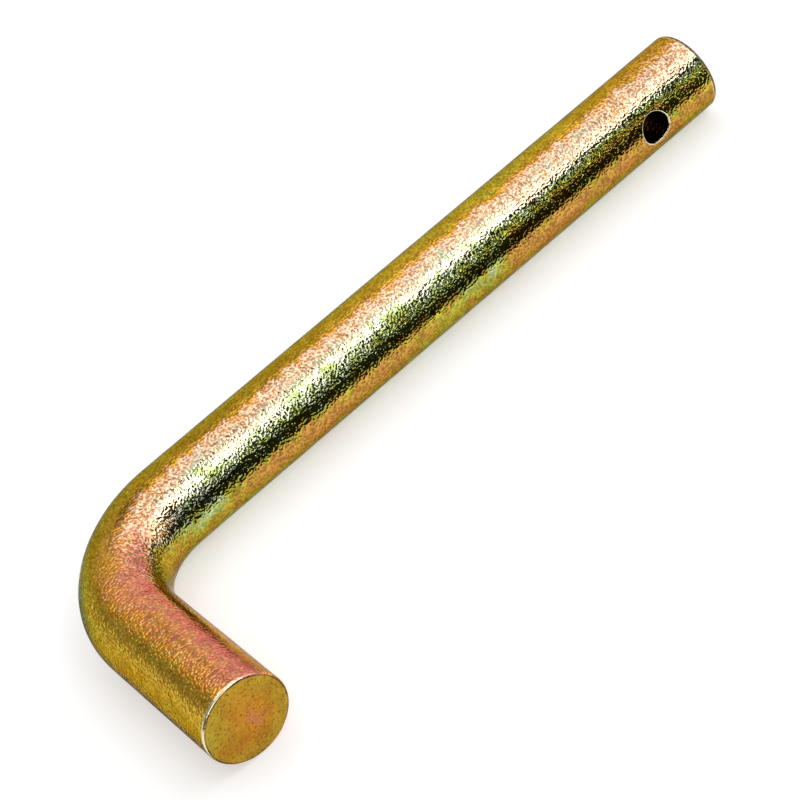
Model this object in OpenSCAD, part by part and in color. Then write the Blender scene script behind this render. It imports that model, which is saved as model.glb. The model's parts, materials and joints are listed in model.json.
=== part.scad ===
// Bent retaining pin: one length of round bar, cold bent to a right angle and drilled for a clip.
// It lies on its side. The shank runs along +X from the end of the bend, and the handle points to -Y.

/* [Bar] */
// Diameter of the round bar that the pin is bent from
bar_d = 15.875; // [12:0.125:19]

/* [Shank] */
// Straight length of the shank, from the bend to its free end
shank_len = 127; // [80:0.5:200]
// Rounding of the rim at the shank's free end
tip_round = 1; // [0.3:0.1:2]

/* [Bend] */
// Inside radius of the bend
bend_r = 12; // [8:0.5:30]

/* [Handle] */
// Straight length of the handle, from the bend to its sawn end
handle_len = 30; // [20:0.5:60]
// Rounding of the rim at the handle's sawn end
handle_round = 0.45; // [0.2:0.05:1.5]

/* [Clip hole] */
// Diameter of the drilled hole
hole_d = 6; // [4:0.1:8]
// Distance of the hole's axis from the shank's free end
hole_inset = 15.4; // [10:0.1:25]
// Angle between the hole's axis and the plane of the bend
hole_tilt = 5; // [-45:1:45]
// Width of the broken edge around both mouths of the hole
hole_break = 0.35; // [0.1:0.05:0.8]

/* [Hidden] */
$fn = 96;
quarter_turn = 90;
bar_r = bar_d / 2;
hole_r = hole_d / 2;
// Radius of the bend along the bar's axis
bend_axis_r = bend_r + bar_r;
// How far a cut runs past the surface that it goes through
overcut = 1;
// Places around the hole's rim where the broken edge is worked out
rim_places = 48;
plating = [0.76, 0.58, 0.26];

// Height of the bar's surface above its axis, at a distance and direction from the hole's axis
function surface_height(radius, angle) = sqrt(bar_r ^ 2 - (radius * sin(angle)) ^ 2);

// A point at a distance and direction from the hole's axis, at a height along it
function rim_point(radius, angle, height) = [radius * cos(angle), radius * sin(angle), height];

// Corners of the broken edge's cut at one place: below the rim inside the hole, out past the bar's surface,
// and above the hole's mouth. Its slanted side runs half its own length past both surfaces.
function rim_cut(angle) =
    let (
        low = surface_height(hole_r, angle) - hole_break,
        high = surface_height(hole_r + hole_break, angle),
        past_radius = hole_break / 2,
        past_height = (high - low) / 2
    )
    [
        rim_point(hole_r - past_radius, angle, low - past_height),
        rim_point(hole_r + hole_break + past_radius, angle, high + past_height),
        rim_point(hole_r - past_radius, angle, bar_r + overcut)
    ];

// Straight bar along +Z, with its rim rounded at the free end
module straight_bar(length, rim) {
    rotate_extrude()
        union() {
            square([bar_r, length - rim]);
            square([bar_r - rim, length]);
            translate([bar_r - rim, length - rim])
                circle(rim);
        }
}

// Quarter turn of bar from the shank's end to the handle's end, about the bend's own axis
module bent_bar() {
    rotate([0, 0, quarter_turn])
        rotate_extrude(angle = quarter_turn)
            translate([bend_axis_r, 0])
                circle(bar_r);
}

// Ring that cuts the sharp edge off one mouth of the hole, following the saddle of its rim
module broken_edge() {
    corners = len(rim_cut(0));
    points = [for (place = [0 : rim_places - 1]) each rim_cut(place * 360 / rim_places)];
    faces = [
        for (place = [0 : rim_places - 1], corner = [0 : corners - 1])
            let (
                next_place = (place + 1) % rim_places,
                next_corner = (corner + 1) % corners,
                here = place * corners + corner,
                beside = place * corners + next_corner,
                ahead = next_place * corners + corner,
                across = next_place * corners + next_corner
            )
            each [[here, across, ahead], [here, beside, across]]
    ];
    polyhedron(points, faces);
}

// Drilled hole along Z through the bar's axis, with the edge of both mouths broken
module clip_hole() {
    cylinder(h = bar_d + 2 * overcut, d = hole_d, center = true);
    for (mouth = [0, 1])
        mirror([0, 0, mouth])
            broken_edge();
}

module bent_pin() {
    color(plating)
        difference() {
            union() {
                rotate([0, 90, 0])
                    straight_bar(shank_len, tip_round);
                translate([0, -bend_axis_r, 0])
                    bent_bar();
                translate([-bend_axis_r, -bend_axis_r, 0])
                    rotate([90, 0, 0])
                        straight_bar(handle_len, handle_round);
            }
            translate([shank_len - hole_inset, 0, 0])
                rotate([90 - hole_tilt, 0, 0])
                    clip_hole();
        }
}

bent_pin();
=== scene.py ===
# Bent retaining pin in yellow chromate over zinc plate, lying on a pale floor.
import json
import math

import bpy
import numpy as np
from mathutils import Matrix, Vector, noise


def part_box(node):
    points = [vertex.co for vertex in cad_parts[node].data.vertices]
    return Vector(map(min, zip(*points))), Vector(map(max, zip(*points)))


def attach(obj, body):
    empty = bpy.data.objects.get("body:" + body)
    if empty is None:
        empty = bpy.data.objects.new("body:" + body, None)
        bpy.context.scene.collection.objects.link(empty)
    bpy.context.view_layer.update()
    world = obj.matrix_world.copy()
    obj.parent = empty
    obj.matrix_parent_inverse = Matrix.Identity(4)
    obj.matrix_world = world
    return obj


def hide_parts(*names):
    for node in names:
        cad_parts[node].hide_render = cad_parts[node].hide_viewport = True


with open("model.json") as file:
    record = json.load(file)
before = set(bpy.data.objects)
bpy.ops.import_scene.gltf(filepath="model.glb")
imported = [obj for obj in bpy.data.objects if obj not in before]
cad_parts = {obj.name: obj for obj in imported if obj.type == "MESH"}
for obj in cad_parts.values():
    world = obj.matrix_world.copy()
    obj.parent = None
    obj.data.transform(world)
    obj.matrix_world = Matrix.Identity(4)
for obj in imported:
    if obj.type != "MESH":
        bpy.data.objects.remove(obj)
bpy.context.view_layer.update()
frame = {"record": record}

MM = 0.001

# Sizes of the pin, from its solid and its mounts
mounts = {mount["name"]: mount for mount in frame["record"]["mounts"]}
pin_low, pin_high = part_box("bent_pin")
BAR_R = mounts["shank"]["dims"]["r_mm"] * MM
SHANK_LEN = pin_high.x
BEND_R = -pin_low.x - BAR_R
HANDLE_LEN = -pin_low.y - BEND_R
TIP_ROUND = SHANK_LEN - mounts["shank"]["dims"]["length_mm"] * MM
HANDLE_ROUND = 0.45 * MM
HOLE_R = mounts["clip_hole"]["dims"]["r_mm"] * MM
HOLE_X = mounts["clip_hole"]["pos_m"][0]
HOLE_AXIS = Vector(mounts["clip_hole"]["axis"])
HOLE_BREAK = 0.35 * MM
HOLE_TURN = math.atan2(HOLE_AXIS.z, HOLE_AXIS.y)

# Runs: distances along the bar's axis, from the free end of the shank to the sawn end of the handle
HOLE_RUN = SHANK_LEN - HOLE_X
BEND_START = SHANK_LEN
BEND_END = BEND_START + BEND_R * math.pi / 2
BAR_LEN = BEND_END + HANDLE_LEN

# Fineness of the mesh: points around the bar and step along it, rings on an end face and on a rounded rim,
# cells from the hole's middle to the side of the square cut out for it, rings around the hole and down it
AROUND = 144
STEP = 0.36 * MM
FACE_RINGS = 14
ROUND_RINGS = 6
HOLE_CELLS = 14
PATCH_RINGS = 7
BORE_RINGS = 26

# Slow waves of the rolled skin
SKIN_WAVE = 4 * MM
SKIN_DEPTH = 0.018 * MM


def spine(run):
    """Centre of the bar, and the direction to the outside of its bend, at distances along its axis."""
    turn = np.clip((run - BEND_START) / BEND_R, 0, math.pi / 2)
    before_bend = np.minimum(run - BEND_START, 0)
    after_bend = np.maximum(run - BEND_END, 0)
    flat = np.zeros_like(run)
    centre = np.stack([-BEND_R * np.sin(turn) - before_bend,
                       -BEND_R * (1 - np.cos(turn)) - after_bend, flat], axis=-1)
    outside = np.stack([-np.sin(turn), np.cos(turn), flat], axis=-1)
    return centre, outside


def on_bar(run, turn, radius):
    """Points at a radius from the bar's axis; a turn of 0 is the bend's outside, and a quarter is up."""
    centre, outside = spine(run)
    up = np.array([0.0, 0.0, 1.0])
    normal = np.cos(turn)[..., None] * outside + np.sin(turn)[..., None] * up
    return centre + radius[..., None] * normal


def skin(run, turn):
    """Radius of the plain bar with the slow waves of its skin, which die out at the rims and the hole."""
    points = on_bar(run, turn, np.full(run.shape, BAR_R))
    waves = np.array([noise.noise(Vector(point) / SKIN_WAVE) for point in points])
    bent = np.clip(1 - np.abs(run - (BEND_START + BEND_END) / 2) / (BEND_END - BEND_START), 0, 1)
    from_ends = np.minimum(run - TIP_ROUND, BAR_LEN - HANDLE_ROUND - run)
    aside = BAR_R * np.sin(turn - HOLE_TURN)
    from_hole = np.hypot(run - HOLE_RUN, aside) - HOLE_R - HOLE_BREAK
    fade = np.clip(from_ends / SKIN_WAVE, 0, 1) * np.clip(from_hole / SKIN_WAVE, 0, 1)
    return BAR_R + SKIN_DEPTH * waves * fade * (1 + bent)


def ring_runs():
    """Runs of the rings on the plain bar, and which of them goes through the middle of the clip hole."""
    reach = HOLE_CELLS * STEP
    last = BAR_LEN - HANDLE_ROUND
    before = np.linspace(TIP_ROUND, HOLE_RUN - reach, round((HOLE_RUN - reach - TIP_ROUND) / STEP) + 1)
    beside = np.linspace(HOLE_RUN - reach, HOLE_RUN + reach, 2 * HOLE_CELLS + 1)
    after = np.linspace(HOLE_RUN + reach, last, round((last - HOLE_RUN - reach) / STEP) + 1)
    return np.concatenate([before[:-1], beside, after[1:]]), len(before) - 1 + HOLE_CELLS


def end_profile(rounding):
    """Radius and depth of the rings from the middle of an end face out to the plain bar."""
    face = np.linspace(0, BAR_R - rounding, FACE_RINGS + 1)[1:]
    slope = np.linspace(math.pi / 2, 0, ROUND_RINGS + 1)[1:-1]
    radius = np.concatenate([face, BAR_R - rounding * (1 - np.cos(slope))])
    depth = np.concatenate([np.zeros(FACE_RINGS), rounding * (1 - np.sin(slope))])
    return radius, depth


# Finish of the plating: thickness of its tinted film, as a share of the colour ramp, by turn in degrees
FILM_ON_SHANK = [(-120, 0.86), (-70, 0.43), (-30, 0.41), (10, 0.37), (40, 0.27), (60, 0.12), (72, 0.19),
                 (88, 0.28), (94, 0.38), (100, 0.565), (106, 0.65), (114, 0.68), (122, 0.722), (130, 0.755),
                 (140, 0.78), (150, 0.795), (158, 0.815), (164, 0.85), (170, 0.865), (176, 0.89),
                 (184, 0.92), (196, 0.94), (206, 0.89), (216, 0.86), (240, 0.86)]
FILM_ON_HANDLE = [(-120, 0.50), (-60, 0.36), (-20, 0.30), (0, 0.24), (64, 0.24), (76, 0.38), (90, 0.42),
                  (104, 0.46), (116, 0.52), (124, 0.56), (130, 0.54), (136, 0.42), (142, 0.36), (200, 0.36),
                  (240, 0.50)]

# Film at the edge of an end face, and how much thicker it is in the middle
FILM_ON_FACE = 0.17
FILM_IN_MIDDLE = 0.20

# Clouds in the film: their size, and how far they swing it, by turn in degrees along the bar
FILM_WAVE = 9 * MM
SWING_ON_SHANK = [(-120, 0.06), (-70, 0.20), (30, 0.19), (60, 0.04), (216, 0.04), (240, 0.06)]
SWING_ON_HANDLE = [(-120, 0.14), (-60, 0.12), (-20, 0.04), (150, 0.04), (190, 0.14), (240, 0.14)]
FACE_WAVE = 5.5 * MM
FACE_SWING = 0.11
# Shift of the clouds, in waves, that keeps their grid off the middle plane of the pin
CLOUD_SHIFT = Vector((0.31, 0.47, 0.57))
# Fall of the clouds' finer layers, step in size between layers, and number of layers
CLOUD_LAYERS = (1.0, 2.0, 3)

# How raggedly the film's drift around the bar runs along it, in degrees of turn
RAGGED_WAVE = 1.8 * MM
RAGGED_TURN = 9

# Stains in the film: run in mm, turn in degrees, reach along the bar in mm and around it in degrees,
# and change in thickness
SHANK_STAINS = [
    (6, 80, 14, 20, 0.20),
    (18, 124, 26, 11, -0.045),
    (20, 158, 30, 16, 0.045),
    (22, 150, 34, 12, 0.035),
    (25, 134, 28, 9, -0.05),
    (40, 109, 18, 8, 0.045),
    (46, 84, 16, 14, -0.10),
    (60, 188, 12, 16, -0.07),
    (126, 182, 8, 16, -0.10),
    (134, 121, 6, 10, -0.075),
    (135, 93, 6, 8, 0.12),
    (136, 140, 6, 12, -0.08),
    (136, 152, 4, 7, -0.12),
    (138, 107, 4, 6, 0.04),
    (143, 152, 4, 9, 0.09),
    (147, 38, 9, 20, -0.22),
    (147, 135, 7, 14, -0.14),
]
HANDLE_STAINS = [
    (147, 32, 10, 26, -0.26),
    (148, 184, 9, 24, -0.34),
    (150, 156, 8, 12, -0.14),
    (152, 139, 8, 7, 0.19),
]

# Painted highlights and painted shade in patches, with a few patches of darker film: placed like the stains,
# with a change in brightness
PAINTED_LIGHT_AND_DARK_FILM_PATCHES = [
    (3, 158, 8, 8, 0.90),
    (18, 116, 30, 7, -0.18),
    (40, 74, 55, 17, 0.19),
    (42, 151, 36, 5, 0.50),
    (54, 167.5, 36, 3.5, -0.55),
    (55, 143, 30, 4, -0.20),
    (62, 175, 60, 3.5, 0.22),
    (110, 86, 18, 14, -0.22),
    (121, 132, 6, 6, 0.40),
    (121, 157, 7, 6, -0.50),
    (125, 138, 4, 7, 0.25),
    (128, 147, 3, 6, -0.35),
    (134, 119, 5, 8, -0.12),
    (135, 94, 6, 8, -0.60),
    (136, 145, 4, 8, 1.05),
    (147, 128, 4, 8, -0.25),
    (148, 98, 6, 12, -0.15),
    (154, 137, 6, 7, 0.60),
    (158, 128, 5, 6, 0.30),
    (159, 132, 5, 4, 0.25),
    (165, 124, 15, 8, 0.08),
    (165, 138, 8, 4, -0.62),
    (168, 148, 16, 5, 1.15),
    (170, 48, 18, 7, 0.22),
    (170, 63, 20, 7, -0.10),
    (172, 157, 18, 6, -0.40),
    (174, 8, 22, 5, 0.40),
    (174, 27, 22, 11, -0.17),
    (178, 96, 14, 4, -0.32),
    (180, 132, 8, 4, -0.30),
]

# Wear of the rims, from 0 to 1, partly a painted highlight: on the handle it is worst around one turn and
# over an arc either way, in degrees, where the painted highlight lies, and fades past that by a power
RIM_WEAR = 0.15
RIM_WEAR_AND_GLINT_WORST = 1.0
RIM_GLINT_TURN = 40
RIM_GLINT_ARC = 70
RIM_GLINT_FADE = 4
TIP_WEAR = 0.5
# bare edge of the hole, partly a painted highlight
HOLE_WEAR_AND_GLINT = 0.8
# How late the hole's edge turns from bare metal, partly a painted highlight, to the painted shade of the
# bore
HOLE_EDGE_FADE = 4
# A painted dark line, standing in for a dark reflection, lies on the rims between two shares of the way
# round the rounding to the end face
RIM_PAINTED_DARK = 0.9
TIP_PAINTED_DARK = (0.1, 0.85)
HANDLE_PAINTED_DARK = (0.7, 1.0)


def degrees_from(degrees, middle):
    """Angle from a middle turn, at most half a turn either way."""
    return (degrees - middle + 180) % 360 - 180


def rim_finish(run, turn, steep):
    """Finish of an end's rim: below 0 for a painted dark line, and up to 1 where it is rubbed bare, with a
    painted highlight on the handle's worst arc.
    """
    on_handle = run > BEND_END
    dark_from, dark_to = HANDLE_PAINTED_DARK if on_handle else TIP_PAINTED_DARK
    if dark_from < steep <= dark_to:
        # painted dark line
        return -RIM_PAINTED_DARK
    if not on_handle:
        return TIP_WEAR * (1 - steep)
    aside = degrees_from(math.degrees(turn), RIM_GLINT_TURN)
    return RIM_WEAR + (RIM_WEAR_AND_GLINT_WORST - RIM_WEAR) * math.exp(-(aside / RIM_GLINT_ARC) ** RIM_GLINT_FADE)


class PinMesh:
    """Points and faces of the pin, with the values that its finish reads at each point."""

    def __init__(self):
        self.points = []
        self.runs = []
        self.turns = []
        self.sawn = []
        self.bore = []
        self.rim = []
        self.faces = []

    def add(self, point, run, turn, sawn=0.0, bore=0.0, rim=0.0):
        """Number of a new point, with its place on the bar and its share of sawn face, bore and rim."""
        self.points.append(tuple(point))
        self.runs.append(run)
        self.turns.append(turn)
        self.sawn.append(sawn)
        self.bore.append(bore)
        self.rim.append(rim)
        return len(self.points) - 1

    def join(self, near, far):
        """Quads between two closed rows of points."""
        count = len(near)
        for place in range(count):
            after = (place + 1) % count
            self.faces.append((near[place], far[place], far[after], near[after]))


def inside_squares(mouths):
    """Grid places inside the squares that are cut out for the mouths of the hole."""
    inside = set()
    for ring, turn in mouths:
        for ring_step in range(1 - HOLE_CELLS, HOLE_CELLS):
            for turn_step in range(1 - HOLE_CELLS, HOLE_CELLS):
                inside.add((ring + ring_step, (turn + turn_step) % AROUND))
    return inside


def around_square(middle_ring, middle_turn):
    """Grid places around the square that is cut out for one mouth of the hole, in order round it."""
    reach = HOLE_CELLS
    right = [(middle_ring - reach, middle_turn + step) for step in range(0, reach)]
    top = [(middle_ring - reach + step, middle_turn + reach) for step in range(0, 2 * reach)]
    left = [(middle_ring + reach, middle_turn + reach - step) for step in range(0, 2 * reach)]
    bottom = [(middle_ring + reach - step, middle_turn - reach) for step in range(0, 2 * reach)]
    back = [(middle_ring - reach, middle_turn - reach + step) for step in range(0, reach)]
    return [(ring, turn % AROUND) for ring, turn in right + top + left + bottom + back]


def in_square(ring, turn, mouth):
    """Whether the quad after a grid place is cut out for one mouth of the hole."""
    mouth_ring, mouth_turn = mouth
    beside = (turn - mouth_turn + HOLE_CELLS) % AROUND < 2 * HOLE_CELLS
    return beside and -HOLE_CELLS <= ring - mouth_ring < HOLE_CELLS


def add_rings(mesh, runs, radii, turns, mouths):
    """Numbers of the points by ring and place around it, from one end face to the other."""
    inside = inside_squares(mouths)
    grid = {}
    for ring, run in enumerate(runs):
        from_end = min(ring, len(runs) - 1 - ring)
        on_face = from_end < FACE_RINGS
        on_rim = FACE_RINGS <= from_end < FACE_RINGS + ROUND_RINGS
        steep = 1 - (from_end - FACE_RINGS) / (ROUND_RINGS - 1)
        along = np.full(AROUND, run)
        radius = np.full(AROUND, radii[ring]) if on_face or on_rim else skin(along, turns)
        points = on_bar(along, turns, radius)
        for turn in range(AROUND):
            if (ring, turn) not in inside:
                finish = rim_finish(run, turns[turn], steep) if on_rim else 0.0
                grid[ring, turn] = mesh.add(points[turn], run, turns[turn], sawn=float(on_face), rim=finish)
    return grid


def join_rings(mesh, grid, ring_count, mouths):
    """Quads between neighbouring rings, apart from the squares cut out for the hole."""
    for ring in range(ring_count - 1):
        for turn in range(AROUND):
            if not any(in_square(ring, turn, mouth) for mouth in mouths):
                after = (turn + 1) % AROUND
                corners = [(ring, turn), (ring + 1, turn), (ring + 1, after), (ring, after)]
                mesh.faces.append(tuple(grid[corner] for corner in corners))


def close_end(mesh, grid, ring, run, forward):
    """Triangles between the middle of an end face and its smallest ring."""
    centre, _ = spine(np.array([run]))
    middle = mesh.add(centre[0], run, 0.0, sawn=1.0)
    for turn in range(AROUND):
        edge = (grid[ring, turn], grid[ring, (turn + 1) % AROUND])
        mesh.faces.append((middle, *edge) if forward else (middle, *edge[::-1]))


def add_surround(mesh, border, mouth_turn, rim_run, rim_turn):
    """Surface from the cut-out square to the hole's rim."""
    start_run = np.array([mesh.runs[index] for index in border])
    start_turn = np.array([mesh.turns[index] for index in border])
    start_turn = mouth_turn + (start_turn - mouth_turn + math.pi) % (2 * math.pi) - math.pi
    row = border
    for ring in range(1, PATCH_RINGS + 1):
        share = ring / PATCH_RINGS
        run = start_run + (rim_run - start_run) * share
        turn = start_turn + (rim_turn - start_turn) * share
        points = on_bar(run, turn, skin(run, turn))
        fresh = [mesh.add(*place) for place in zip(points, run, turn)]
        mesh.join(row, fresh)
        row = fresh
    return row


def add_edge(mesh, row, mouth_turn, angles, rim_run, rim_turn):
    """Rounded edge from the hole's rim down into the hole."""
    outward = np.array([0.0, math.cos(mouth_turn), math.sin(mouth_turn)])
    across = np.array([0.0, -math.sin(mouth_turn), math.cos(mouth_turn)])
    along = np.array([1.0, 0.0, 0.0])
    for ring in range(1, ROUND_RINGS + 1):
        slope = ring / ROUND_RINGS * math.pi / 2
        # share of the bore's painted shade
        dark = (ring / ROUND_RINGS) ** HOLE_EDGE_FADE
        radius = HOLE_R + HOLE_BREAK * (1 - math.sin(slope))
        height = np.sqrt(BAR_R ** 2 - (radius * np.sin(angles)) ** 2) - HOLE_BREAK * (1 - math.cos(slope))
        fresh = []
        for place, angle in enumerate(angles):
            point = (along * (HOLE_X + radius * math.cos(angle)) + across * radius * math.sin(angle)
                     + outward * height[place])
            fresh.append(mesh.add(point, rim_run[place], rim_turn[place],
                                  bore=dark, rim=HOLE_WEAR_AND_GLINT * (1 - dark)))
        mesh.join(row, fresh)
        row = fresh
    return row


def add_mouth(mesh, border, mouth_turn):
    """One mouth of the hole: the surface around it and its rounded edge."""
    angles = np.arange(len(border)) * 2 * math.pi / len(border)
    rim_r = HOLE_R + HOLE_BREAK
    rim_run = HOLE_RUN - rim_r * np.cos(angles)
    rim_turn = mouth_turn + np.arcsin(rim_r * np.sin(angles) / BAR_R)
    row = add_surround(mesh, border, mouth_turn, rim_run, rim_turn)
    return add_edge(mesh, row, mouth_turn, angles, rim_run, rim_turn)


def add_bore(mesh, front, back):
    """Wall of the hole from the edge of one mouth to the edge of the other."""
    count = len(front)
    facing = [back[(count - place) % count] for place in range(count)]
    starts = np.array([mesh.points[index] for index in front])
    ends = np.array([mesh.points[index] for index in facing])
    row = front
    for ring in range(1, BORE_RINGS):
        points = starts + (ends - starts) * ring / BORE_RINGS
        fresh = [mesh.add(point, HOLE_RUN, HOLE_TURN, bore=1.0) for point in points]
        mesh.join(row, fresh)
        row = fresh
    mesh.join(row, facing)


def sweep_pin():
    """The whole surface of the pin: end faces, rounded rims, plain bar, and the hole with its edges."""
    mesh = PinMesh()
    turns = HOLE_TURN + np.arange(AROUND) * 2 * math.pi / AROUND
    plain, hole_ring = ring_runs()
    tip_radius, tip_depth = end_profile(TIP_ROUND)
    handle_radius, handle_depth = end_profile(HANDLE_ROUND)
    runs = np.concatenate([tip_depth, plain, BAR_LEN - handle_depth[::-1]])
    radii = np.concatenate([tip_radius, np.full(len(plain), BAR_R), handle_radius[::-1]])
    hole_ring += len(tip_depth)
    mouths = [(hole_ring, 0), (hole_ring, AROUND // 2)]
    grid = add_rings(mesh, runs, radii, turns, mouths)
    join_rings(mesh, grid, len(runs), mouths)
    close_end(mesh, grid, 0, 0.0, True)
    close_end(mesh, grid, len(runs) - 1, BAR_LEN, False)
    edges = []
    for ring, turn in mouths:
        border = [grid[place] for place in around_square(ring, turn)]
        edges.append(add_mouth(mesh, border, turns[turn]))
    add_bore(mesh, *edges)
    return mesh


def level_by_turn(degrees, knots):
    """Level at each turn, between knots that go once around the bar."""
    turns, levels = zip(*knots)
    return np.interp((degrees - turns[0]) % 360 + turns[0], turns, levels)


def patch_change(run, degrees, patch):
    """Change that a patch makes at each point: all of it in its middle, and fading around it."""
    middle_run, middle_turn, reach, arc, change = patch
    aside = degrees_from(degrees, middle_turn)
    return change * np.exp(-((run / MM - middle_run) / reach) ** 2 - (aside / arc) ** 2)


def painted_light_and_dark_film(mesh):
    """Brightness at each point, changed in patches on the bar by painted highlights and painted shade, with
    a few patches of darker film, and even on the end faces.
    """
    run = np.array(mesh.runs)
    degrees = np.degrees(np.array(mesh.turns))
    change = sum(patch_change(run, degrees, patch) for patch in PAINTED_LIGHT_AND_DARK_FILM_PATCHES)
    return 1 + np.where(np.array(mesh.sawn) > 0, 0.0, change)


def past_bend(mesh):
    """How far each point is past the bend: 0 on the shank and 1 on the handle."""
    past = np.clip((np.array(mesh.runs) - BEND_START) / (BEND_END - BEND_START), 0, 1)
    return past * past * (3 - 2 * past)


def film_thickness(mesh, knots, swings, stains):
    """Thickness of the film at each point: a ragged drift around the bar, stains, and slow clouds."""
    run = np.array(mesh.runs)
    degrees = np.degrees(np.array(mesh.turns))
    ragged = np.array([noise.noise(Vector(point) / RAGGED_WAVE) for point in mesh.points])
    film = level_by_turn(degrees + RAGGED_TURN * ragged, knots)
    film += sum(patch_change(run, degrees, stain) for stain in stains)
    centre, _ = spine(run)
    from_axis = np.linalg.norm(np.array(mesh.points) - centre, axis=-1) / BAR_R
    face_film = FILM_ON_FACE + FILM_IN_MIDDLE * (1 - from_axis ** 2)
    on_face = np.array(mesh.sawn) > 0
    film = np.where(on_face, face_film, film)
    waves = np.where(on_face, FACE_WAVE, FILM_WAVE)
    drift = [noise.fractal(Vector(point) / wave + CLOUD_SHIFT, *CLOUD_LAYERS)
             for point, wave in zip(mesh.points, waves)]
    swing = np.where(on_face, FACE_SWING, level_by_turn(degrees, swings))
    return np.clip(film + swing * np.array(drift), 0.0, 1.0)


def make_pin():
    """The pin as one mesh, with its film, sawn faces, bore and rims as values that the finish reads."""
    shape = sweep_pin()
    data = bpy.data.meshes.new("pin_bar")
    data.from_pydata(shape.points, [], shape.faces)
    values = {"shank_film": film_thickness(shape, FILM_ON_SHANK, SWING_ON_SHANK, SHANK_STAINS),
              "handle_film": film_thickness(shape, FILM_ON_HANDLE, SWING_ON_HANDLE, HANDLE_STAINS),
              # painted highlights and painted shade in patches, with a few of darker film
              "past": past_bend(shape), "painted_light_and_tone": painted_light_and_dark_film(shape),
              "sawn": shape.sawn, "bore": shape.bore, "rim": shape.rim}
    for name, numbers in values.items():
        attribute = data.attributes.new(name, "FLOAT", "POINT")
        attribute.data.foreach_set("value", np.array(numbers, dtype=np.float32))
    data.validate()
    data.shade_smooth()
    data.materials.append(zinc_plate(values))
    pin = bpy.data.objects.new("pin_bar", data)
    bpy.context.collection.objects.link(pin)
    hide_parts("bent_pin")
    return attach(pin, "root")


def add_node(tree, kind, inputs=None, **settings):
    """A node with its settings, and with values or links on its inputs."""
    made = tree.nodes.new(kind)
    for name, value in settings.items():
        setattr(made, name, value)
    for socket, value in (inputs or {}).items():
        if isinstance(value, bpy.types.NodeSocket):
            tree.links.new(value, made.inputs[socket])
        else:
            made.inputs[socket].default_value = value
    return made


def calculate(tree, operation, result, *others):
    """Result of one operation on a value and on each of the others in turn."""
    for other in others:
        result = add_node(tree, "ShaderNodeMath", {0: result, 1: other}, operation=operation).outputs[0]
    return result


def clouds(tree, place, wave, detail, distortion):
    """Noise with a given wavelength, detail and distortion."""
    made = add_node(tree, "ShaderNodeTexNoise",
                    {"Vector": place, "Scale": 1 / wave, "Detail": detail, "Distortion": distortion})
    return made.outputs["Fac"]


def spread(tree, value, from_low, from_high, to_low, to_high):
    """A value moved smoothly from one range to another, and kept inside it."""
    made = add_node(tree, "ShaderNodeMapRange",
                    {0: value, 1: from_low, 2: from_high, 3: to_low, 4: to_high},
                    interpolation_type="SMOOTHSTEP")
    return made.outputs[0]


def by_share(tree, share, none, full):
    """A value that goes from one level to another as a share goes from 0 to 1."""
    return spread(tree, share, 0.0, 1.0, none, full)


def by_noise(tree, value, low, high):
    """A value that goes from one level to another over most of the range of a noise."""
    return spread(tree, value, *NOISE_RANGE, low, high)


def colour_ramp(tree, value, stops):
    """Colour looked up along a ramp."""
    made = add_node(tree, "ShaderNodeValToRGB", {0: value})
    ramp = made.color_ramp
    while len(ramp.elements) < len(stops):
        ramp.elements.new(1.0)
    for element, (place, colour) in zip(ramp.elements, stops):
        element.position = place
        element.color = (*colour, 1.0)
    return made.outputs["Color"]


def mix_values(tree, share, first, second):
    """The first value with a share of the second."""
    return add_node(tree, "ShaderNodeMix", {0: share, 2: first, 3: second}).outputs[0]


def mix_colours(tree, share, first, second):
    """The first colour with a share of the second."""
    return add_node(tree, "ShaderNodeMix", {0: share, 6: first, 7: second}, data_type="RGBA").outputs[2]


def new_material(name):
    """A material with no nodes yet, and its tree."""
    material = bpy.data.materials.new(name)
    material.use_nodes = True
    tree = material.node_tree
    tree.nodes.clear()
    return material, tree


# Colours of the film from thin to thick, on the shank and on the handle
SHANK_COLOURS = [
    (0.00, (0.42, 0.43, 0.05)),
    (0.12, (0.62, 0.44, 0.04)),
    (0.28, (0.59, 0.325, 0.03)),
    (0.40, (0.63, 0.33, 0.03)),
    (0.52, (0.74, 0.36, 0.11)),
    (0.60, (0.82, 0.44, 0.29)),
    (0.64, (0.82, 0.57, 0.45)),
    (0.67, (0.77, 0.56, 0.35)),
    (0.70, (0.71, 0.55, 0.24)),
    (0.725, (0.76, 0.66, 0.48)),
    (0.745, (0.70, 0.67, 0.49)),
    (0.77, (0.50, 0.58, 0.33)),
    (0.81, (0.40, 0.46, 0.10)),
    (0.845, (0.46, 0.39, 0.04)),
    (0.89, (0.54, 0.30, 0.055)),
    (1.00, (0.68, 0.27, 0.09)),
]
HANDLE_COLOURS = [
    (0.00, (0.30, 0.42, 0.11)),
    (0.12, (0.57, 0.41, 0.045)),
    (0.28, (0.59, 0.325, 0.035)),
    (0.38, (0.69, 0.285, 0.03)),
    (0.46, (0.79, 0.295, 0.12)),
    (0.53, (0.80, 0.23, 0.15)),
    (0.57, (0.80, 0.18, 0.16)),
    (0.62, (0.80, 0.20, 0.22)),
    (0.68, (0.66, 0.46, 0.20)),
    (0.76, (0.44, 0.46, 0.14)),
    (0.82, (0.40, 0.46, 0.10)),
    (0.88, (0.48, 0.41, 0.035)),
    (1.00, (0.58, 0.34, 0.05)),
]
# cream of the painted glints on the handle
PAINTED_GLINT = (0.80, 0.58, 0.36, 1.0)
# bare zinc of the rubbed rims, also the colour of painted highlights on the handle's rim and the hole's edge
BARE_ZINC_AND_GLINT = (0.86, 0.82, 0.60, 1.0)
# painted shade: colour of the dark line on the rims
PAINTED_DARK_EDGE = (0.05, 0.038, 0.02, 1.0)

# Colour of the metal where it is seen almost edge on, and strength of the shine on the painted dark line of
# the rims
EDGE_TINT = (0.48, 0.43, 0.36, 1.0)
DARK_EDGE_SHINE = 0.1

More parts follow.
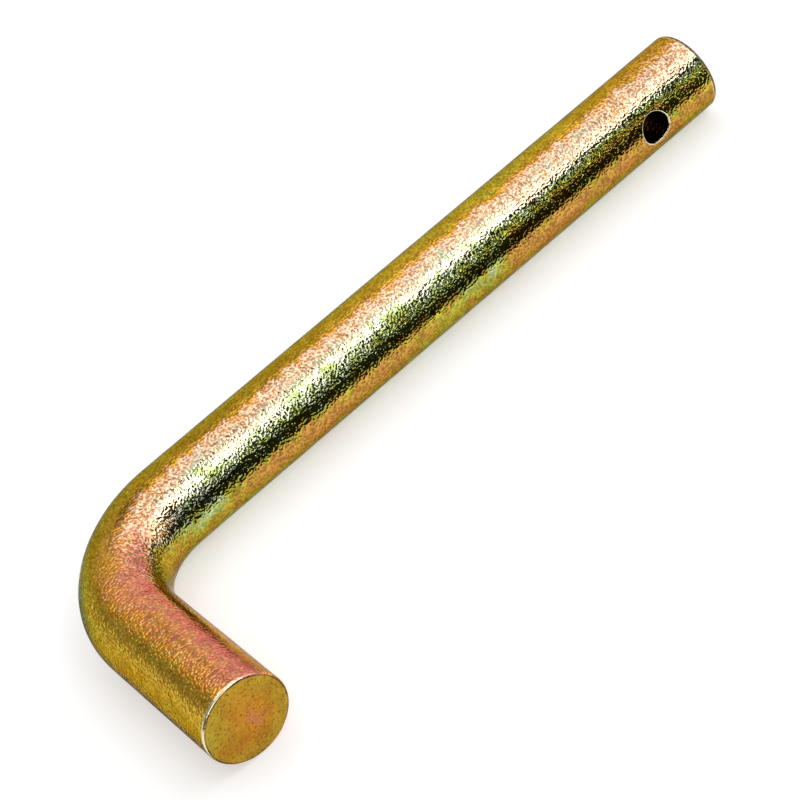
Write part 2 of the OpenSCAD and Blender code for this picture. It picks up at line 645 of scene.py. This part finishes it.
# Grain of the plating, from fine to coarse: wavelength, detail and distortion of its noise
WORMS = (0.45 * MM, 0.0, 0.3)
CURLS = (0.75 * MM, 1.0, 1.2)
MOTTLE = (2.2 * MM, 3.0, 0.5)
NOISE_RANGE = (0.3, 0.7)
NOISE_MIDDLE = 0.5

# Pale band of the shank: film over which it starts and over which it ends, and how far it calms the grain
PALE_START = (0.69, 0.73)
PALE_END = (0.76, 0.79)
PALE_CALM = 0.9
FACE_CALM = 0.6

# Orange peel: its depth, and the share of it on bare rims, on end faces and in the pale band
PEEL_DEPTH = 0.128 * MM
PEEL_ON_RIM = 0.2
PEEL_ON_FACE = 0.4
PEEL_IN_PALE = 0.72

# Change of the film's thickness over the range of each grain
WORM_FILM = (-0.12, 0.04)
CURL_FILM = (-0.05, 0.02)
CURL_FILM_ON_HANDLE = (0.05, -0.05)
MOTTLE_FILM = (-0.03, 0.03)
# Film over which the fine grain of the shank fades, the share that is left, and how it grows into the bend
GRAIN_FADE = (0.66, 0.77)
GRAIN_LEFT = 0.15
GRAIN_GROWS = (0.0, 0.25)
GRAIN_IN_BEND = 1.7

# Painted glints on the handle, as cream flecks where peel facets catch the lamps: range of the curls and of
# the film over which they grow, and their share
GLINT_CURLS = (0.52, 0.70)
GLINT_FILM = (0.24, 0.38)
GLINT_LEAST = 0.1
GLINT_MOST = 0.45

# Brightness: of the worms, darker film with painted shade in the peel's pits and painted glints on its
# ridges, where they are darkest, on shank and on handle, and where they are brightest; over the range of the
# mottle; and of the pits in the end faces, of the painted shade in the bore, and of the end faces
WORM_DARKEST = (0.64, 0.82)
WORM_BRIGHTEST = 1.22
MOTTLE_SHADE = (1.12, 0.86)
PIT_RANGE = (0.26, 0.38)
PIT_SHADE = 0.7
# painted shade in the bore
BORE_SHADE = 0.14
FACE_SHADE = 0.70

# Patchiness of wear and of the painted dark line: range of the mottle over which they grow, and their least
# share
WEAR_MOTTLE = (0.35, 0.55)
WEAR_LEAST = 0.8
DARK_EDGE_MOTTLE = (0.35, 0.60)
DARK_EDGE_LEAST = 0.6

# Roughness over the range of the mottle, and what faces and well-worn rims add to it
ROUGH = (0.05, 0.09)
ROUGH_ON_FACE = 0.2
ROUGH_ON_RIM = 0.15
ROUGH_FROM_WEAR = 0.4


def pale_band(tree, film):
    """How far each place on the shank is in its pale band."""
    start = spread(tree, film, *PALE_START, 0.0, PALE_CALM)
    end = spread(tree, film, *PALE_END, 1.0, 0.0)
    return calculate(tree, "MULTIPLY", start, end)


def orange_peel(tree, worms, pale, read):
    """Bumps of the fine grain, weaker on bare rims, on end faces and in the pale band."""
    on_rim = by_share(tree, read["rim"], 1.0, PEEL_ON_RIM)
    on_face = by_share(tree, read["sawn"], 1.0, PEEL_ON_FACE)
    in_pale = spread(tree, pale, 0.0, PALE_CALM, 1.0, PEEL_IN_PALE)
    strength = calculate(tree, "MULTIPLY", on_rim, on_face, in_pale)
    bump = add_node(tree, "ShaderNodeBump", {"Height": worms, "Distance": PEEL_DEPTH, "Strength": strength})
    return bump.outputs[0]


def film_colour(tree, worms, curls, mottle, read):
    """Colour of the film, whose thickness varies with the grain, with painted glints as cream flecks on the
    handle.
    """
    grain = calculate(tree, "ADD", by_noise(tree, worms, *WORM_FILM), by_noise(tree, curls, *CURL_FILM))
    faded = spread(tree, read["shank_film"], *GRAIN_FADE, 1.0, GRAIN_LEFT)
    bent = spread(tree, read["past"], *GRAIN_GROWS, 1.0, GRAIN_IN_BEND)
    grain = calculate(tree, "MULTIPLY", grain, faded, bent)
    shank_film = calculate(tree, "ADD", read["shank_film"], grain)
    handle_film = calculate(tree, "ADD", read["handle_film"], by_noise(tree, curls, *CURL_FILM_ON_HANDLE))
    slow = by_noise(tree, mottle, *MOTTLE_FILM)
    on_shank = colour_ramp(tree, calculate(tree, "ADD", shank_film, slow), SHANK_COLOURS)
    on_handle = colour_ramp(tree, calculate(tree, "ADD", handle_film, slow), HANDLE_COLOURS)
    # painted glints: cream flecks on the handle
    painted_glint = calculate(tree, "MULTIPLY", spread(tree, curls, *GLINT_CURLS, 0.0, GLINT_MOST),
                      spread(tree, handle_film, *GLINT_FILM, GLINT_LEAST, 1.0))
    on_handle = mix_colours(tree, painted_glint, on_handle, PAINTED_GLINT)
    return mix_colours(tree, read["past"], on_shank, on_handle)


def film_brightness(tree, worms, soft_worms, mottle, read):
    """Brightness of the film: its patches of painted highlight and painted shade, its grain with painted
    shade in the peel's pits and painted glints on its ridges, the pits of the faces, and painted shade in
    the bore.
    """
    pits = spread(tree, worms, *PIT_RANGE, by_share(tree, read["sawn"], 1.0, PIT_SHADE), 1.0)
    darkest = by_share(tree, read["past"], *WORM_DARKEST)
    # painted shade in the peel's pits and painted glints on its ridges, with darker film in the pits
    fine = by_noise(tree, soft_worms, darkest, WORM_BRIGHTEST)
    coarse = by_noise(tree, mottle, *MOTTLE_SHADE)
    # painted shade in the bore
    in_bore = by_share(tree, read["bore"], 1.0, BORE_SHADE)
    on_face = by_share(tree, read["sawn"], 1.0, FACE_SHADE)
    return calculate(tree, "MULTIPLY", read["painted_light_and_tone"], pits, fine, coarse, in_bore, on_face)


def bare_glint_and_painted_dark(tree, mottle, rim):
    """Shares of bare zinc, partly a painted highlight, and of the painted dark line on the rims."""
    bare_and_glint = calculate(tree, "MULTIPLY", by_share(tree, rim, 0.0, 1.0),
                     spread(tree, mottle, *WEAR_MOTTLE, WEAR_LEAST, 1.0))
    painted_dark = calculate(tree, "MULTIPLY", spread(tree, rim, -1.0, 0.0, 1.0, 0.0),
                      spread(tree, mottle, *DARK_EDGE_MOTTLE, DARK_EDGE_LEAST, 1.0))
    return bare_and_glint, painted_dark


def roughness(tree, mottle, read):
    """Roughness of the plating, more on faces and on well-worn rims."""
    on_face = by_share(tree, read["sawn"], 0.0, ROUGH_ON_FACE)
    on_rim = spread(tree, read["rim"], ROUGH_FROM_WEAR, 1.0, 0.0, ROUGH_ON_RIM)
    return calculate(tree, "ADD", by_noise(tree, mottle, *ROUGH), on_face, on_rim)


def zinc_plate(names):
    """Chromate over zinc, from a mesh's named values: a metal with a thin tinted film and orange peel."""
    material, tree = new_material("zinc_plate")
    place = add_node(tree, "ShaderNodeTexCoord").outputs["Object"]
    read = {}
    for name in names:
        read[name] = add_node(tree, "ShaderNodeAttribute", attribute_name=name).outputs["Fac"]
    worms, curls, mottle = (clouds(tree, place, *grain) for grain in (WORMS, CURLS, MOTTLE))
    pale = pale_band(tree, read["shank_film"])
    calm = by_share(tree, read["sawn"], 0.0, FACE_CALM)
    calm_worms = mix_values(tree, calm, worms, NOISE_MIDDLE)
    calm_curls = mix_values(tree, calm, curls, NOISE_MIDDLE)
    soft_worms = mix_values(tree, pale, calm_worms, NOISE_MIDDLE)
    colour = film_colour(tree, calm_worms, calm_curls, mottle, read)
    # brightness of the film, with its painted highlights and painted shade
    painted_light_and_tone = film_brightness(tree, worms, soft_worms, mottle, read)
    tint = add_node(tree, "ShaderNodeVectorMath", {0: colour, 1: painted_light_and_tone}, operation="MULTIPLY").outputs[0]
    bare_and_glint, painted_dark = bare_glint_and_painted_dark(tree, mottle, read["rim"])
    # bare zinc on the worn rims, partly a painted highlight
    tint = mix_colours(tree, bare_and_glint, tint, BARE_ZINC_AND_GLINT)
    # painted dark line on the rims
    tint = mix_colours(tree, painted_dark, tint, PAINTED_DARK_EDGE)
    shader = add_node(tree, "ShaderNodeBsdfPrincipled", {
        "Base Color": tint, "Metallic": calculate(tree, "SUBTRACT", 1.0, painted_dark),
        "Roughness": roughness(tree, mottle, read), "Normal": orange_peel(tree, worms, pale, read),
        "Specular IOR Level": DARK_EDGE_SHINE, "Specular Tint": EDGE_TINT})
    add_node(tree, "ShaderNodeOutputMaterial", {"Surface": shader.outputs[0]})
    return material


# Camera, where the photograph was taken from
CAMERA_AIM = Vector((39.18, -17.15, -0.30)) * MM
CAMERA_DISTANCE = 399.9 * MM
CAMERA_AZIMUTH = math.radians(-21.66)
CAMERA_ELEVATION = math.radians(40.2)
CAMERA_ROLL = math.radians(26.4)
CAMERA_LENS = 105.4
CAMERA_NEAREST = 10 * MM


def bearing(azimuth, elevation):
    """Unit direction; an azimuth of 0 is -Y, and elevation is above the floor."""
    return Vector((math.sin(azimuth) * math.cos(elevation), -math.cos(azimuth) * math.cos(elevation),
                   math.sin(elevation)))


def make_camera():
    """The camera, rolled as in the photograph."""
    back = bearing(CAMERA_AZIMUTH, CAMERA_ELEVATION)
    level_right = Vector((0, 0, 1)).cross(back).normalized()
    level_up = back.cross(level_right)
    right = math.cos(CAMERA_ROLL) * level_right - math.sin(CAMERA_ROLL) * level_up
    up = math.sin(CAMERA_ROLL) * level_right + math.cos(CAMERA_ROLL) * level_up
    data = bpy.data.cameras.new("camera")
    data.lens = CAMERA_LENS
    data.clip_start = CAMERA_NEAREST
    camera = bpy.data.objects.new("camera", data)
    turned = Matrix((right, up, back)).transposed().to_4x4()
    camera.matrix_world = Matrix.Translation(CAMERA_AIM + back * CAMERA_DISTANCE) @ turned
    bpy.context.collection.objects.link(camera)
    bpy.context.scene.camera = camera


# Floor: how far it reaches, its colour, and the glow that makes it look white
FLOOR_REACH = 3.0
FLOOR_COLOUR = (0.70, 0.70, 0.70, 1.0)
FLOOR_GLOW = 0.44


def add_plane(name, corners, material):
    """A flat piece of the studio with four corners."""
    data = bpy.data.meshes.new(name)
    data.from_pydata(corners, [], [(0, 1, 2, 3)])
    data.materials.append(material)
    plane = bpy.data.objects.new(name, data)
    bpy.context.collection.objects.link(plane)
    return plane


def level_corners(left, right, near, far, height):
    """Corners of a level rectangle."""
    return [(left, near, height), (right, near, height), (right, far, height), (left, far, height)]


def floor_white():
    """Matt white that looks white to the camera and in the metal, and still takes a shadow."""
    material, tree = new_material("floor_white")
    path = add_node(tree, "ShaderNodeLightPath").outputs
    rays = [path[kind] for kind in ("Is Camera Ray", "Is Glossy Ray", "Is Transmission Ray")]
    seen = calculate(tree, "MAXIMUM", *rays)
    glow = add_node(tree, "ShaderNodeEmission", {"Strength": calculate(tree, "MULTIPLY", seen, FLOOR_GLOW)})
    matt = add_node(tree, "ShaderNodeBsdfDiffuse", {"Color": FLOOR_COLOUR})
    both = add_node(tree, "ShaderNodeAddShader", {0: matt.outputs[0], 1: glow.outputs[0]})
    add_node(tree, "ShaderNodeOutputMaterial", {"Surface": both.outputs[0]})
    return material


def make_floor():
    """The floor that the pin lies on."""
    reach = FLOOR_REACH
    add_plane("floor", level_corners(-reach, reach, -reach, reach, pin_low.z), floor_white())


# Cards beside the shank, and a strip on the floor that paints the floor's shadow beside the pin: their
# places, and how bright they look in the metal
FRONT_CARD_AWAY = BAR_R + 18 * MM
FRONT_CARD_TOP = 5.5 * MM
FRONT_CARD_LEVEL = 0.02
FRONT_CARD_REVERSE = 0.8
BACK_CARD_AWAY = BAR_R + 12 * MM
BACK_CARD_TOP = 3 * MM
BACK_CARD_LEVEL = 0.64
CARD_PAST = 30 * MM
CARD_GAP = 0.2 * MM
STRIP_WIDTH = 7 * MM
STRIP_LEVEL = 0.34


def card_grey(name, level):
    """A plain grey of a given brightness."""
    material, tree = new_material(name)
    shader = add_node(tree, "ShaderNodeEmission", {"Strength": level})
    add_node(tree, "ShaderNodeOutputMaterial", {"Surface": shader.outputs[0]})
    return material


def show_in_metal_only(card):
    """Hides a card from the camera, and keeps it from lighting or shading the floor."""
    card.visible_camera = False
    card.visible_diffuse = False
    card.visible_shadow = False


def make_card(name, away, left, top, level):
    """A low card that stands along the shank, seen only in the metal."""
    right = SHANK_LEN + CARD_PAST
    low = pin_low.z + CARD_GAP
    corners = [(left, away, low), (right, away, low), (right, away, top), (left, away, top)]
    show_in_metal_only(add_plane(name, corners, card_grey(name, level)))


def make_floor_strip():
    """A grey strip on the floor along the outside of the bend and handle, seen only in the metal: a painted
    shadow of the floor beside the pin.
    """
    corners = level_corners(pin_low.x - STRIP_WIDTH, pin_low.x + BAR_R, pin_low.y, BAR_R + STRIP_WIDTH,
                            pin_low.z + CARD_GAP / 2)
    show_in_metal_only(add_plane("floor_strip", corners, card_grey("floor_strip", STRIP_LEVEL)))


# Lamps: azimuth and elevation in degrees, width and height in metres, and how bright they look in a mirror
LAMP_DISTANCE = 1.10
LAMPS = [
    ("overhead_lamp", 170, 80, 1.34, 1.07, 0.90),
    ("key_lamp", 28, 55, 0.76, 0.43, 2.45),
    ("fill_lamp", -28, 35, 1.30, 0.49, 2.0),
    ("right_lamp", 75, 40, 0.76, 0.89, 1.3),
    ("left_lamp", -140, 5, 0.82, 0.22, 0.58),
    ("front_lamp", 30, 18, 0.58, 0.10, 1.6),
    ("low_lamp", 57, 8, 0.40, 0.18, 1.1),
]


def make_softbox(name, azimuth, elevation, width, height, radiance):
    """A rectangular lamp that faces the middle of the shank."""
    data = bpy.data.lights.new(name, "AREA")
    data.shape = "RECTANGLE"
    data.size = width
    data.size_y = height
    data.energy = radiance * math.pi * width * height
    lamp = bpy.data.objects.new(name, data)
    towards = bearing(math.radians(azimuth), math.radians(elevation))
    middle = Vector((SHANK_LEN / 2, 0, 0))
    lamp.location = middle + towards * LAMP_DISTANCE
    lamp.rotation_euler = towards.to_track_quat("Z", "Y").to_euler()
    bpy.context.collection.objects.link(lamp)


# Room: its brightness in front of the pin, and what is added behind it from left to right.
# The directions over which it changes are parts of a unit direction along Y and along X.
ROOM_LEVEL = 0.03
ROOM_BEHIND = (0.32, 0.78)
FRONT_TO_BACK = (-0.2, 0.5)
LEFT_TO_RIGHT = (-0.7, 0.6)


def make_world():
    """A dim room: dark in front of the pin, and grey behind it, lighter towards the right."""
    world = bpy.data.worlds.new("room")
    world.use_nodes = True
    tree = world.node_tree
    tree.nodes.clear()
    direction = add_node(tree, "ShaderNodeTexCoord").outputs["Generated"]
    parts = add_node(tree, "ShaderNodeSeparateXYZ", {0: direction}).outputs
    behind = spread(tree, parts["Y"], *FRONT_TO_BACK, 0.0, 1.0)
    level = calculate(tree, "MULTIPLY", behind, spread(tree, parts["X"], *LEFT_TO_RIGHT, *ROOM_BEHIND))
    level = calculate(tree, "ADD", level, ROOM_LEVEL)
    background = add_node(tree, "ShaderNodeBackground", {"Color": (1, 1, 1, 1), "Strength": level})
    add_node(tree, "ShaderNodeOutputWorld", {"Surface": background.outputs[0]})
    bpy.context.scene.world = world


make_camera()
make_pin()
make_floor()
make_card("front_card", -FRONT_CARD_AWAY, 0.0, FRONT_CARD_TOP, FRONT_CARD_LEVEL)
make_card("front_card_reverse", -FRONT_CARD_AWAY - CARD_GAP / 2, 0.0, FRONT_CARD_TOP, FRONT_CARD_REVERSE)
# painted floor shadow, seen only in the metal
make_floor_strip()
make_card("back_card", BACK_CARD_AWAY, pin_low.x - CARD_PAST, BACK_CARD_TOP, BACK_CARD_LEVEL)
for lamp_settings in LAMPS:
    make_softbox(*lamp_settings)
make_world()
bpy.context.scene.view_settings.view_transform = "Standard"
